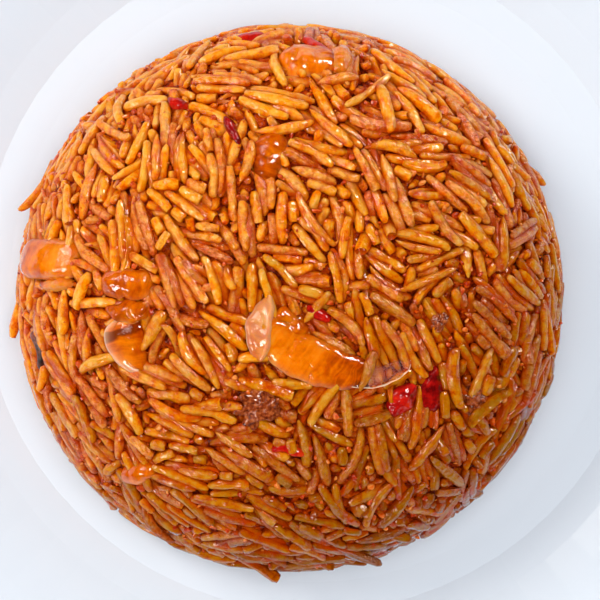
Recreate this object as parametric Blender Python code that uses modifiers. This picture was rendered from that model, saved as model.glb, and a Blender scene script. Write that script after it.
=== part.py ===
"""Jollof rice turned out of a bowl onto a white porcelain plate.

The plate is a turned coupe shape with a foot ring. The rice is one solid that keeps the bowl's shape: a broad,
slightly crowned top, a round shoulder and steep sides, with an outline as uneven as pressed grains leave it.
Slices of onion, two pieces of red pepper and a crumb of minced meat lie in pockets of that solid, flush with
the surface that the bowl gave them.

The origin is the middle of the plate's foot ring, on the table. Z is up. Everything is in metres.
"""

import math

import bmesh
import bpy
from mathutils import Matrix, Vector, noise

MM = 0.001
GAP = 0.3 * MM

# The plate.
PLATE_RADIUS = 115 * MM
WELL_RADIUS = 64 * MM
WELL_FLOOR = 6 * MM
PLATE_WALL = 4 * MM
LIP_WALL = 3.2 * MM
SLOPE_ENDS = 76 * MM
STEEPEST_SLOPE = math.radians(25)
LIP_SLOPE = math.radians(17)
PROFILE_STEP = 6 * MM
FOOT_OUTER = 47 * MM
FOOT_INNER = 41 * MM
FOOT_DRAFT = 1 * MM
TURN_STEPS = 64
LIP_STEPS = 4

# The rice. Its plan and its height follow a superellipse, which is squarer than a dome.
MOUND_CENTRE = Vector((-5.3 * MM, -4.0 * MM, WELL_FLOOR + GAP))
MOUND_RADIUS = 56.8 * MM
MOUND_HEIGHT = 40 * MM
PLAN_POWER = 3.2
RISE_POWER = 2.4
MOUND_LEAN = Vector((0.03, 0.03))
MOUND_SEGMENTS = 60
MOUND_RINGS = 34
LUMP_SIZE = 9 * MM
LUMP_DEPTH = 0.7 * MM
GRAIN_WIDTH = 2.4 * MM
GRAIN_DEPTH = 0.4 * MM

# How far a slice's face stands off the moulded surface, and how far its pocket's cutter reaches out of it.
SLICE_PROUD = 0.5 * MM
CUTTER_REACH = 7 * MM
PROBE_REACH = 26 * MM
PROBE_HALVINGS = 24

# Each slice: middle from the mound's axis (mm, or azimuth and height on the wall), heading in degrees,
# length, width, thickness and sideways bend in mm, and how blunt its ends are (2 is an ellipse).
TOP_SLICES = {
    "onion_slice_middle": dict(at=(6.4, -8.8), heading=-19, size=(29, 9.5, 1.8), bend=-2.6, blunt=2.3),
    "onion_slice_shoulder": dict(at=(-46.2, 7.2), heading=2, size=(12, 8, 1.6), bend=0, blunt=4.5),
    "onion_slice_left": dict(at=(-31.6, 2.6), heading=-4, size=(9.5, 5, 1.6), bend=-0.3, blunt=2.8),
    "onion_petal_left": dict(at=(-31, -9.4), heading=-78, size=(10.5, 7.4, 1.6), bend=0.8, blunt=2.4),
    "onion_slice_top": dict(at=(4.4, 48.2), heading=-14, size=(13, 7, 1.6), bend=-0.8, blunt=2.6),
    "onion_slice_upper": dict(at=(-3.6, 27.6), heading=70, size=(8.4, 6.2, 1.6), bend=0.4, blunt=2.8),
    "pepper_piece_inner": dict(at=(22.6, -20.0), heading=62, size=(7.4, 4.4, 2.0), bend=0.3, blunt=2.4),
    "pepper_piece_outer": dict(at=(28.4, -18.2), heading=76, size=(8.4, 4.6, 2.0), bend=-0.3, blunt=2.4),
}
WALL_SLICES = {
    "onion_strip_front": dict(at=(-68, 14), heading=4, size=(19, 5.5, 1.3), bend=0.6, blunt=3),
    "onion_strip_right": dict(at=(-25, 20), heading=84, size=(11, 6.5, 1.3), bend=0.4, blunt=3),
}
SLICE_GRID = (9, 4)

MEAT_AT = Vector((-4.6 * MM, -21.2 * MM))
MEAT_RADII = Vector((4.2 * MM, 3.5 * MM, 2.2 * MM))
MEAT_HEADING = math.radians(20)
MEAT_SUNK = 1.2 * MM
MEAT_LUMPS = 2.6 * MM
MEAT_ROUGH = 0.16

COLOURS = {
    "porcelain": ((0.86, 0.87, 0.88), 0.12),
    "rice": ((0.68, 0.22, 0.03), 0.35),
    "onion": ((0.80, 0.30, 0.04), 0.22),
    "pepper": ((0.55, 0.03, 0.01), 0.20),
    "meat": ((0.22, 0.09, 0.04), 0.45),
}


def clear_scene():
    for obj in list(bpy.data.objects):
        bpy.data.objects.remove(obj, do_unlink=True)


def new_collection(name):
    collection = bpy.data.collections.new(name)
    bpy.context.scene.collection.children.link(collection)
    return collection


def make_material(name):
    (red, green, blue), roughness = COLOURS[name]
    material = bpy.data.materials.new(name)
    material.use_nodes = True
    shader = material.node_tree.nodes["Principled BSDF"]
    shader.inputs["Base Color"].default_value = (red, green, blue, 1)
    shader.inputs["Roughness"].default_value = roughness
    shader.inputs["Metallic"].default_value = 0
    return material


def make_object(name, bm, collection, material=None):
    """Puts a bmesh's geometry in a new, smooth shaded object, with its faces pointing out."""
    bmesh.ops.recalc_face_normals(bm, faces=bm.faces)
    mesh = bpy.data.meshes.new(name)
    bm.to_mesh(mesh)
    bm.free()
    mesh.shade_smooth()
    obj = bpy.data.objects.new(name, mesh)
    collection.objects.link(obj)
    if material:
        mesh.materials.append(material)
    return obj


# ---------------------------------------------------------------- the plate


def eased(share):
    share = min(max(share, 0.0), 1.0)
    return share * share * (3 - 2 * share)


def plate_slope(radius):
    """The upper face's slope: level in the well, steepest just outside it, easing towards the lip."""
    if radius <= SLOPE_ENDS:
        return STEEPEST_SLOPE * eased((radius - WELL_RADIUS) / (SLOPE_ENDS - WELL_RADIUS))
    outward = eased((radius - SLOPE_ENDS) / (PLATE_RADIUS - SLOPE_ENDS))
    return STEEPEST_SLOPE + (LIP_SLOPE - STEEPEST_SLOPE) * outward


def upper_face():
    """(radius, height) along the plate's upper face, from the well's edge to the middle of the lip."""
    radius, height = WELL_RADIUS, WELL_FLOOR
    points = [(radius, height)]
    steps = round((PLATE_RADIUS - LIP_WALL / 2 - WELL_RADIUS) / PROFILE_STEP)
    step = (PLATE_RADIUS - LIP_WALL / 2 - WELL_RADIUS) / steps
    for _ in range(steps):
        height += step * math.tan(plate_slope(radius + step / 2))
        radius += step
        points.append((radius, height))
    return points


def plate_profile():
    """The plate's half section, from the axis out along the upper face, round the lip and back underneath."""
    upper = upper_face()
    lip_radius, lip_top = upper[-1]
    half = LIP_WALL / 2
    lip = [
        (lip_radius + half * math.sin(turn), lip_top - half + half * math.cos(turn))
        for turn in (math.pi * i / LIP_STEPS for i in range(1, LIP_STEPS))
    ]
    lower = []
    for radius, height in reversed(upper):
        outward = (radius - WELL_RADIUS) / (lip_radius - WELL_RADIUS)
        lower.append((radius, height - PLATE_WALL + (PLATE_WALL - LIP_WALL) * outward))
    foot_top = WELL_FLOOR - PLATE_WALL
    foot = [
        (FOOT_OUTER, foot_top),
        (FOOT_OUTER - FOOT_DRAFT, 0),
        (FOOT_INNER + FOOT_DRAFT, 0),
        (FOOT_INNER, foot_top),
    ]
    return [(0, WELL_FLOOR), (WELL_RADIUS / 2, WELL_FLOOR), *upper, *lip, *lower, *foot, (0, foot_top)]


def make_plate(collection, material):
    mesh = bpy.data.meshes.new("plate")
    profile = [Vector((radius, 0, height)) for radius, height in plate_profile()]
    mesh.from_pydata(profile, [(i, i + 1) for i in range(len(profile) - 1)], [])
    mesh.materials.append(material)
    plate = bpy.data.objects.new("plate", mesh)
    collection.objects.link(plate)
    turn = plate.modifiers.new("turn", "SCREW")
    turn.axis = "Z"
    turn.steps = turn.render_steps = TURN_STEPS
    turn.use_merge_vertices = True
    turn.merge_threshold = 0.01 * MM
    turn.use_smooth_shade = True
    return plate


# ---------------------------------------------------------------- the moulded surface


def mould_level(point):
    """Below 1 inside the bowl's inner surface, 1 on it and above 1 outside."""
    local = point - MOUND_CENTRE
    rise = max(local.z, 0.0)
    across = (local.to_2d() - MOUND_LEAN * rise).length
    return (across / MOUND_RADIUS) ** PLAN_POWER + (rise / MOUND_HEIGHT) ** RISE_POWER


def mould_normal(point):
    step = 0.01 * MM
    slopes = [
        mould_level(point + Vector(axis) * step) - mould_level(point - Vector(axis) * step)
        for axis in ((1, 0, 0), (0, 1, 0), (0, 0, 1))
    ]
    return Vector(slopes).normalized()


def mould_hit(start, direction):
    """Where the line through start along direction leaves the moulded surface."""
    low, high = -PROBE_REACH, PROBE_REACH
    for _ in range(PROBE_HALVINGS):
        middle = (low + high) / 2
        if mould_level(start + direction * middle) < 1:
            low = middle
        else:
            high = middle
    return start + direction * high


def place_on_top(across_mm):
    """The point of the moulded surface above a place given from the mound's axis."""
    above = MOUND_CENTRE + Vector((*across_mm, 0)) * MM + Vector((0, 0, MOUND_HEIGHT / 2))
    return mould_hit(above, Vector((0, 0, 1)))


def place_on_wall(azimuth_deg, height_mm):
    """The point of the moulded surface at a height, in a direction from the mound's axis."""
    azimuth = math.radians(azimuth_deg)
    outward = Vector((math.cos(azimuth), math.sin(azimuth), 0))
    return mould_hit(MOUND_CENTRE + Vector((0, 0, height_mm * MM)) + outward * MOUND_RADIUS * 0.9, outward)


def surface_frame(place, heading_deg):
    """A frame on the moulded surface: X along the heading seen from outside, Z out of the rice."""
    normal = mould_normal(place)
    reference = Vector((1, 0, 0)) if normal.z > 0.6 else Vector((-normal.y, normal.x, 0)).normalized()
    along = (reference - normal * reference.dot(normal)).normalized()
    frame = Matrix.Translation(place) @ Matrix([along, normal.cross(along), normal]).transposed().to_4x4()
    return frame @ Matrix.Rotation(math.radians(heading_deg), 4, "Z")


# ---------------------------------------------------------------- the rice


def unevenness(point):
    """How far the pressed grains stand out of the smooth moulded surface, or fall short of it."""
    lumps = noise.noise(point / LUMP_SIZE)
    grains = noise.noise(point / GRAIN_WIDTH)
    return LUMP_DEPTH * lumps + GRAIN_DEPTH * grains


def make_mound(collection, material):
    bm = bmesh.new()
    bmesh.ops.create_uvsphere(bm, u_segments=MOUND_SEGMENTS, v_segments=MOUND_RINGS, radius=1)
    everything = bm.verts[:] + bm.edges[:] + bm.faces[:]
    bmesh.ops.bisect_plane(bm, geom=everything, plane_no=(0, 0, 1), clear_inner=True, dist=1e-4)
    bmesh.ops.holes_fill(bm, edges=[edge for edge in bm.edges if edge.is_boundary])
    for vert in bm.verts:
        latitude = math.asin(min(max(vert.co.z, 0.0), 1.0))
        plan = vert.co.to_2d().normalized() if latitude < math.pi / 2 - 1e-4 else Vector((0, 0))
        across = MOUND_RADIUS * math.cos(latitude) ** (2 / PLAN_POWER)
        rise = MOUND_HEIGHT * math.sin(latitude) ** (2 / RISE_POWER)
        flat = plan * across + MOUND_LEAN * rise
        place = MOUND_CENTRE + Vector((*flat, rise))
        outward = mould_normal(place + Vector((0, 0, 0.02 * MM)))
        moved = place + outward * unevenness(place)
        if latitude < 1e-3:
            moved.z = MOUND_CENTRE.z
        vert.co = moved
    return make_object("rice_mound", bm, collection, material)


# ---------------------------------------------------------------- slices and crumbs


def slice_outline(u, v, size, bend, blunt, grow):
    """Maps a square grid's (u, v), each from -1 to 1, to a blunt-ended slice, bent sideways."""
    round_u = u * math.sqrt(1 - v * v / 2)
    round_v = v * math.sqrt(1 - u * u / 2)
    reach = math.hypot(round_u, round_v)
    if reach > 1e-6:
        squared = (abs(round_u) ** blunt + abs(round_v) ** blunt) ** (1 / blunt)
        round_u, round_v = round_u * reach / squared, round_v * reach / squared
    length, width, _ = (mm * MM for mm in size)
    along = round_u * (length / 2 + grow)
    across = round_v * (width / 2 + grow) + bend * MM * (round_u * round_u - 0.4)
    return along, across


def slice_solid(name, frame, size, bend, blunt, collection, cutter=False):
    """A slice that follows the moulded surface or, as a cutter, its pocket with the gap round it."""
    thickness = size[2] * MM
    grow = GAP if cutter else 0.0
    top = CUTTER_REACH if cutter else SLICE_PROUD
    bottom = SLICE_PROUD - thickness - grow
    bm = bmesh.new()
    bmesh.ops.create_grid(bm, x_segments=SLICE_GRID[0], y_segments=SLICE_GRID[1], size=1)
    lower = bm.verts[:]
    raised = bmesh.ops.extrude_face_region(bm, geom=bm.faces[:])["geom"]
    upper = [item for item in raised if isinstance(item, bmesh.types.BMVert)]
    outward = frame.col[2].to_3d()
    for verts, level in ((lower, bottom), (upper, top)):
        for vert in verts:
            along, across = slice_outline(vert.co.x, vert.co.y, size, bend, blunt, grow)
            vert.co = mould_hit(frame @ Vector((along, across, 0)), outward) + outward * level
    return make_object(name, bm, collection)


def crumb_solid(name, collection, grow=0.0, reach=0.0):
    """A lumpy crumb of minced meat, sunk into the surface, or its pocket's cutter, which reaches out of the rice."""
    frame = surface_frame(place_on_top(MEAT_AT / MM), math.degrees(MEAT_HEADING))
    bm = bmesh.new()
    bmesh.ops.create_icosphere(bm, subdivisions=2, radius=1)
    for vert in bm.verts:
        lump = 1 + MEAT_ROUGH * noise.noise(vert.co * MEAT_RADII.x / MEAT_LUMPS)
        radii = MEAT_RADII + Vector((grow, grow, grow))
        local = Vector(radius * part * lump for radius, part in zip(radii, vert.co))
        local.z += reach if vert.co.z > 0.1 else 0.0
        vert.co = frame @ (local - Vector((0, 0, MEAT_SUNK)))
    return make_object(name, bm, collection)


def cut_pocket(mound, cutter):
    cutter.hide_render = True
    cutter.display_type = "WIRE"
    pocket = mound.modifiers.new(cutter.name, "BOOLEAN")
    pocket.operation = "DIFFERENCE"
    pocket.solver = "EXACT"
    pocket.object = cutter


def make_toppings(mound, collection, cutters, materials):
    placed = {name: place_on_top(row["at"]) for name, row in TOP_SLICES.items()}
    placed |= {name: place_on_wall(*row["at"]) for name, row in WALL_SLICES.items()}
    for name, row in (TOP_SLICES | WALL_SLICES).items():
        frame = surface_frame(placed[name], row["heading"])
        shape = (frame, row["size"], row["bend"], row["blunt"])
        topping = slice_solid(name, *shape, collection)
        topping.data.materials.append(materials[name.split("_")[0]])
        cut_pocket(mound, slice_solid(f"pocket_{name}", *shape, cutters, cutter=True))
    crumb = crumb_solid("meat_crumb", collection)
    crumb.data.materials.append(materials["meat"])
    cut_pocket(mound, crumb_solid("pocket_meat_crumb", cutters, grow=1.6 * GAP, reach=CUTTER_REACH))


def main():
    clear_scene()
    collection = new_collection("jollof_rice")
    cutters = new_collection("cutters")
    materials = {name: make_material(name) for name in COLOURS}
    make_plate(collection, materials["porcelain"])
    mound = make_mound(collection, materials["rice"])
    make_toppings(mound, collection, cutters, materials)


main()
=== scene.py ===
"""Jollof rice on a white porcelain coupe plate: separate oily grains packed as the bowl left them, with
onion, red pepper, minced meat and tomato among them. Lengths are in metres, except in the packing, which
works in mm from the middle of the mound's foot."""

import functools
import math

import bmesh
import bpy
import numpy as np
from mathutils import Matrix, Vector, noise


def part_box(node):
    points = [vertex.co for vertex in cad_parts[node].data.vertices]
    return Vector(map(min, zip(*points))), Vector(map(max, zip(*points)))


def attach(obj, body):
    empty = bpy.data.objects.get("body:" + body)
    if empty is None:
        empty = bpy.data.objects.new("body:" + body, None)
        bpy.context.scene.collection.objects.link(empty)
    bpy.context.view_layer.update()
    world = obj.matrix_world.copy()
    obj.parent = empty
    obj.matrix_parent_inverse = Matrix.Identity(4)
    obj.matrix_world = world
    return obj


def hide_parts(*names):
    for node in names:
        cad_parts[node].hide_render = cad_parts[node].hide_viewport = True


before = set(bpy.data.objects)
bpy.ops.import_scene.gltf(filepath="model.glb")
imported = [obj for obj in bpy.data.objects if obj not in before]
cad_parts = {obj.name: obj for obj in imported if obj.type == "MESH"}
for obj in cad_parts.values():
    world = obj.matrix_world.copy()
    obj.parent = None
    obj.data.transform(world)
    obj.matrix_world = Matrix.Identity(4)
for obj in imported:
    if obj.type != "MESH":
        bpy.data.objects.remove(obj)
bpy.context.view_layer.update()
MM = 0.001
rng = np.random.default_rng(41)

# ---------------------------------------------------------------- sizes

RICE_LOW, RICE_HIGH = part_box("rice_mound")
MOUND_LEAN = 0.03
MOUND_HEIGHT = (RICE_HIGH.z - RICE_LOW.z) / MM
MOUND_RADIUS = (RICE_HIGH.x - RICE_LOW.x) / 2 / MM
MOUND_FOOT = Vector(
    (
        (RICE_LOW.x + RICE_HIGH.x) / 2 - 0.2 * MM,
        (RICE_LOW.y + RICE_HIGH.y) / 2 - 0.2 * MM,
        RICE_LOW.z,
    )
)
# The bowl's inside: how square its section is across and up, and what evens out its measure of distance.
PLAN_POWER = 3.2
RISE_POWER = 2.4
MEASURE_ROOT = 1 / 2.8

# The grains, in mm: the usual size, its spread and its limits, and the share and lengths of the broken
# ones.
GRAIN_LENGTH = 10.8
LENGTH_SPREAD = 1.1
LENGTH_LIMITS = (8.4, 13.2)
GRAIN_RADIUS = 1.17
RADIUS_SPREAD = 0.1
RADIUS_LIMITS = (0.92, 1.42)
BROKEN_SHARE = 0.16
BROKEN_LENGTHS = (2.8, 6.6)
BROKEN_BELOW = 7.2
KIND_SHARES = [0.3, 0.18, 0.2, 0.12, 0.1, 0.1]
TIP_SHARE = 0.8
GRAIN_COUNT = 3400
GRAIN_ROUGHNESS = 0.26
CRUMB_ROUGHNESS = 0.12
SHELL_DEPTH = 7.0
STRAY_COUNT = 16
STRAY_TURNS = (0.2, 0.45)
STRAY_SHIFTS = (0.3, 0.8)
BATCH = 20000

# How deep the core lies under the bowl's surface at the side and at the top, and the cells it is measured
# in.
SIDE_DEPTH = 2.8
TOP_DEPTH = 3.3
CORE_FINENESS = 8
CELL = 6.0
WRINKLE_STRETCH = 3.0
CREASE_ANGLE = 62

PULP_TRIES = 14000
PULP_COUNT = 1100
GRIT_COUNT = 1000
PULP_DEPTHS = (0.8, 3.6)
GRIT_DEPTHS = (0.1, 2.0)
CRUMB_DENTS = [(0.4, 0.7, 0.5), (-0.8, 0.1, 0.4), (0.1, -0.6, -0.7), (0.7, -0.5, 0.3)]

# Packing: rounds, rounds between two searches for neighbours and their reach, and how far grains press
# together.
RELAX_STEPS = 160
SEARCH_EVERY = 8
SEARCH_REACH = 12.5
PRESSED = 0.96

# The camera, in mm: where it stands, how high, and how wide a strip it sees at the well's floor.
CAMERA_PLACE = (-2.9, -4.4)
CAMERA_HEIGHT = 450
VIEW_WIDTH = 126.6

# Each light: place and size in metres, power, colour, and whether it is mirrored in oil and glaze or lights
# what is matt.
WARM = (1.0, 0.95, 0.87)
LIGHTS = {
    "window": ((-0.63, 0.42, 0.66), (0.4, 0.4), 4.4, (1.0, 0.985, 0.95), False),
    "ceiling": ((0.1, -0.1, 1.4), (1.2, 1.2), 14.2, (0.95, 0.98, 1.0), False),
    "window_pane": ((-0.63, 0.42, 0.66), (0.42, 0.39), 21.5, WARM, True),
    "window_right_pane": ((0.5, 0.58, 0.66), (0.28, 0.28), 7.8, WARM, True),
    "window_left_pane": ((-0.66, -0.4, 0.62), (0.23, 0.23), 3.8, WARM, True),
}


def node_middle(name):
    """The middle of one of the frame's nodes, seen from above, in mm from the mound's middle."""
    low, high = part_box(name)
    middle = ((low + high) / 2 - MOUND_FOOT) / MM
    return (middle.x, middle.y)


# Onion, pepper and skins. A slice lies at a place, with its heading in degrees, its length and width, how
# far its ends bend to its left, how blunt they are (2 is an ellipse) and how much it tapers forwards. rise
# is its height over the bowl's surface from its left edge to its right, and swell what is added from its
# start to its end. All in mm.
FLAT_RISE = [(0, -1.8), (0.14, -0.6), (0.35, 0.1), (0.65, 0.1), (0.86, -0.6), (1, -1.8)]
EVEN_SWELL = [(0, -1.3), (0.15, -0.2), (0.35, 0.1), (0.65, 0.1), (0.85, -0.2), (1, -1.3)]
# Some rows also paint a pale highlight along a slice's edge, saying how strong and how wide in mm it is.
SLICES = {
    "onion_slice_middle": dict(
        at=(4.5, -11), heading=-25, size=(21, 7.5), bend=1.6, blunt=2.6, taper=-0.1, rumple=0.5,
        rise=[(0, -0.4), (0.1, 0.3), (0.3, 0.4), (0.75, 0.3), (0.93, 0.0), (1, -0.7)],
        swell=[(0, -0.3), (0.08, 0.4), (0.3, 0.2), (0.8, 0.1), (1, -0.8)],
        tints=[(0, 0.7), (0.5, 0.45), (0.8, 0.15), (1, -0.1)], wetness=0.7, grid=(60, 24),
    ),
    "onion_slice_shoulder": dict(
        at=(-48, 8), heading=0, size=(10.5, 6.5), blunt=4.5,
        rise=[(0, -1.3), (0.1, -0.3), (0.2, -0.1), (0.8, 0.6), (0.92, 0.2), (1, -1.3)],
        swell=[(0, -1.3), (0.12, 0.0), (0.34, 1.3), (0.4, 1.2), (0.85, -0.9), (1, -1.6)], rumple=0.12,
        ragged=0.3, tints=[(0, 0.5), (0.3, 0.35), (0.6, 0.6), (1, 0.5)],
        pale=[(0, 0.6), (0.14, 0.5), (0.24, 0)], grid=(34, 18),
    ),
    "onion_slice_left": dict(
        heading=-5, size=(9, 4.5), blunt=3.4,
        rise=[(0, -1.5), (0.15, -0.3), (0.4, 0.3), (0.6, 0.2), (0.85, -0.3), (1, -1.4)],
        swell=[(0, -1.3), (0.12, -0.3), (0.4, 0.3), (0.8, -0.1), (1, -1.2)],
        tints=[(0, 0.2), (0.5, 0.35), (1, 0.45)], ragged=1.0,
    ),
    "onion_petal_left": dict(
        heading=-70, size=(10.5, 6.5), bend=0.5, blunt=2.4, taper=-0.35,
        rise=[(0, -1.4), (0.15, -0.4), (0.5, -0.3), (0.75, 0.0), (0.88, 0.8), (0.95, 1.0), (1, 0.5)],
        swell=EVEN_SWELL, tints=[(0, 0.4), (0.22, 0.35), (0.32, -0.4), (0.42, 0.35), (1, 0.45)], rumple=0.2,
        ragged=0.3, rim_width=0.45, wetness=1, wall=0.5,
    ),
    "onion_slice_top": dict(
        heading=-5, size=(9.5, 6.5), blunt=3, taper=-0.2, rise=FLAT_RISE,
        swell=[(0, -1.5), (0.15, -0.4), (0.4, -0.1), (0.65, -0.1), (0.85, -0.4), (1, -1.5)],
        tints=[(0, 0.3), (0.4, 0.5), (0.75, 0.35), (1, -0.2)], rumple=1.0, ragged=1.3,
    ),
    "onion_slice_upper": dict(
        heading=80, size=(8, 5.5), blunt=2.2, taper=0.25,
        rise=[(0, -1.6), (0.2, -0.6), (0.4, -0.3), (0.7, -0.8), (1, -1.9)], swell=EVEN_SWELL,
        tints=[(0, 0.0), (0.5, 0.2), (1, 0.4)], rumple=0.35, ragged=0.8,
    ),
    "pepper_piece_inner": dict(
        heading=50, size=(7, 4.5), blunt=2,
        rise=[(0, -1.0), (0.12, -0.1), (0.4, 0.5), (0.5, 0.5), (0.85, -0.2), (1, -1.0)],
        swell=[(0, -0.9), (0.12, 0.0), (0.5, 0.2), (1, -0.8)],
        tints=[(0, 0.3), (0.4, 0.6), (0.6, 0.3), (1, 0.5)], wall=0.35, rumple=0.7,
    ),
    "pepper_piece_outer": dict(
        heading=80, size=(8.5, 4.5), blunt=2, taper=-0.6,
        rise=[(0, -1.2), (0.3, -0.6), (0.6, -0.3), (1, -1.0)], swell=EVEN_SWELL, tints=[(0, 0.0), (1, 0.2)],
        wall=0.4, rumple=0.7,
    ),
}
for name, row in SLICES.items():
    row.setdefault("at", node_middle(name))

# Thin bits that the model of the heap doesn't hold as pieces of their own.
THIN_RISE = [(0, -1.0), (0.4, 0.1), (0.8, 0.0), (1, -0.9)]
SKINS = {
    "onion_lobe_middle": dict(
        at=(-5, -5.5), heading=80, size=(12.5, 5), bend=-1, blunt=1.7, taper=-0.15,
        rise=[(0, -0.4), (0.15, 0.1), (0.4, 0.5), (0.75, 1.3), (0.87, 1.6), (0.94, 1.3), (1, 0.5)],
        swell=[(0, -0.7), (0.1, 0.3), (0.2, 0.6), (0.8, 0.0), (1, 0.0)], tints=[(0, 0.35), (1, 0.6)],
        pale=[(0, 0.0), (0.3, 0.25), (0.7, 0.4), (1, 0.2)], both_rims=True, wetness=0.8, wall=0.35,
        rumple=0.35, grid=(44, 26),
    ),
    "onion_chunk_middle": dict(
        at=(0.5, -5), heading=-40, size=(6.5, 3.5), blunt=4,
        rise=[(0, -0.6), (0.15, 0.3), (0.5, 0.6), (0.85, 0.2), (1, -0.5)], tints=[(0, 0.5), (1, 0.3)],
        wall=0.5, rumple=0.8, grid=(26, 18),
    ),
    "onion_bit_top": dict(
        at=(10.5, 48), heading=80, size=(4.5, 3), rise=FLAT_RISE, tints=[(0, 0.6), (1, 0.7)],
    ),
    "onion_bit_front": dict(
        at=(-30, -35), heading=20, size=(5, 3), rise=FLAT_RISE, tints=[(0, 0.5), (1, 0.4)],
    ),
    "onion_membrane_left": dict(
        at=(-31.5, -2.5), heading=-5, size=(8, 5), blunt=3, wall=0.4, rumple=1.2, ragged=1.2,
        tints=[(0, 0.15), (1, 0.35)],
    ),
    "pepper_skin_top": dict(at=(7, 50), heading=-40, size=(10, 2), wall=0.35, tints=[(0, 0.6), (1, 0.9)]),
    "pepper_skin_edge": dict(at=(-8, 53.5), heading=10, size=(6, 1.5), wall=0.35),
    "pepper_sliver_upper": dict(
        at=(-11, 33), heading=-65, size=(6.5, 1.5), wall=0.35, tints=[(0, 0.1), (1, 0.3)],
    ),
    "pepper_bit_corner": dict(at=(-22, 39), heading=-15, size=(3.5, 2), wall=0.35),
    "pepper_bit_middle": dict(at=(6, -3), heading=-35, size=(5, 2), wall=0.35),
    "pepper_bit_front": dict(
        at=(0, -29.5), heading=-10, size=(6, 1.5), bend=-1, wall=0.35, tints=[(0, 0.7), (1, 0.9)],
    ),
    "charred_onion_shred": dict(
        at=(-50.5, -10.5), heading=-75, size=(8, 1), bend=-1.5, wall=0.5, tints=[(0, 0.5), (1, 0)],
    ),
    "onion_film_middle": dict(
        at=(16.5, -14.5), heading=10, size=(15, 4), bend=1.5, blunt=2.2,
        rise=[(0, 0.0), (0.5, 0.25), (0.85, 0.3), (0.95, 0.6), (1, 0.4)],
        swell=[(0, -0.3), (0.2, 0.35), (0.8, 0.4), (1, 0.2)], wall=0.15, wetness=1, grid=(30, 14),
    ),
    "onion_lip_left": dict(
        at=(-46.5, 3), heading=8, size=(6.5, 2.5), blunt=2.6,
        rise=[(0, -0.9), (0.3, 0.1), (0.7, 0.3), (1, -0.8)],
        tints=[(0, -0.2), (0.2, 0.1), (0.35, 0.6), (1, 0.7)], wall=0.4,
    ),
    "charred_onion_bit": dict(
        at=(-26, -49.5), heading=-35, size=(4, 0.8), wall=0.4, tints=[(0, 0.1), (1, 0)],
    ),
}
# Onion pressed flat against the bowl's wall: direction from the middle, height, length, width and tilt.
WALL_STRIPS = {
    "onion_strip_front": dict(towards=-68, height=14, size=(18, 6.2), tilt=-6, tints=[(0, -0.1), (1, 0.0)]),
    "onion_strip_right": dict(towards=-25, height=20, size=(6.5, 8), tilt=10, tints=[(0, 0.0), (1, -0.1)]),
}
# How deep a slice lies, the room that grains leave under it, and what tells one slice's lumps from the
# next's.
SLICE_DEPTH = 0.3
SLICE_ROOM = 1.1
SEED_STEP = 3.7
# Crumbs of minced meat: place, heading and half sizes.
MEAT = {
    "meat_crumb_fried": (node_middle("meat_crumb"), 20, (4.0, 3.3, 2.2)),
    "meat_crumb_right": ((37.5, -20), -40, (3.2, 2.6, 1.7)),
    "meat_bit_right": ((29.5, -4.5), 60, (1.7, 1.2, 1.0)),
}
MEAT_ROOM = 0.85
MEAT_LUMPS = [(0.55, 1.6), (0.4, 3), (0.05, 6)]

# Grains laid against a slice: mm forwards from its middle and to its left, heading in degrees and length in
# mm.
LAID_GRAINS = {
    "onion_slice_middle": [
        (3, 4, -30, 9.5), (11, 2, 70, 8.5), (-3, 9, 50, 8), (4, 8.5, -45, 10), (9, 8, -75, 8.5),
        (14, 9, -60, 11), (-10, -5, 5, 6), (-1, -6.5, -5, 8), (6, -7, 55, 10.5), (11, -7, -85, 9.5),
        (17, 3, 30, 6.5),
    ],
    "onion_slice_left": [(-3, 7, -85, 11), (3, 4.5, -30, 7), (-9, -2, 60, 8)],
    "onion_petal_left": [(1, -7, 20, 10), (-1, 5.5, 60, 9), (7, -4, -45, 10)],
    "onion_slice_upper": [(6, -2, 10, 12), (2, -8, -30, 10), (-2, 4, 75, 9)],
    "onion_slice_top": [(12, -6, 45, 13), (16, -9, -85, 11), (6, -4, 20, 9), (-6, -3, -75, 9)],
    "pepper_piece_outer": [(3, -4, -80, 12.5), (5, -9, 65, 11), (-1, -11, 30, 11)],
}

# Painted light and shade: the grains are painted lighter towards this side and darker and browner away from
# it.
PAINTED_LIT_SIDE = (-0.45, 0.89)

# How the grains run over the mound: (place from its middle in mm, heading in degrees).
FLOW = [
    ((-30, 30), 115), ((0, 40), 140), ((32, 28), 145), ((-40, -8), 120), ((-8, 5), 110), ((20, 2), 125),
    ((45, -5), 95), ((-28, -32), 135), ((0, -42), 175), ((26, -30), 120), ((44, -22), 65),
]


# ---------------------------------------------------------------- helpers


def deselect():
    bpy.ops.object.select_all(action="DESELECT")


def linear(hex_colour):
    """A colour written as sRGB hex, turned linear."""
    parts = [int(hex_colour[i : i + 2], 16) / 255 for i in (0, 2, 4)]
    return (*(p / 12.92 if p <= 0.04045 else ((p + 0.055) / 1.055) ** 2.4 for p in parts), 1.0)


def add_node(tree, kind, inputs=(), output=0, stops=(), **settings):
    """Adds a node and sets it up. Its inputs, by name or in order, get values or other nodes' outputs, and
    a ramp gets its colours. Returns one of its outputs."""
    made = tree.nodes.new("ShaderNode" + kind)
    for name, value in settings.items():
        setattr(made, name, value)
    for name, value in inputs.items() if isinstance(inputs, dict) else enumerate(inputs):
        if isinstance(value, bpy.types.NodeSocket):
            tree.links.new(value, made.inputs[name])
        else:
            made.inputs[name].default_value = value
    for number, (place, hex_colour) in enumerate(stops):
        if number == len(made.color_ramp.elements):
            made.color_ramp.elements.new(1.0)
        made.color_ramp.elements[number].position = place
        made.color_ramp.elements[number].color = linear(hex_colour)
    return made.outputs[output] if made.outputs else None


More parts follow.
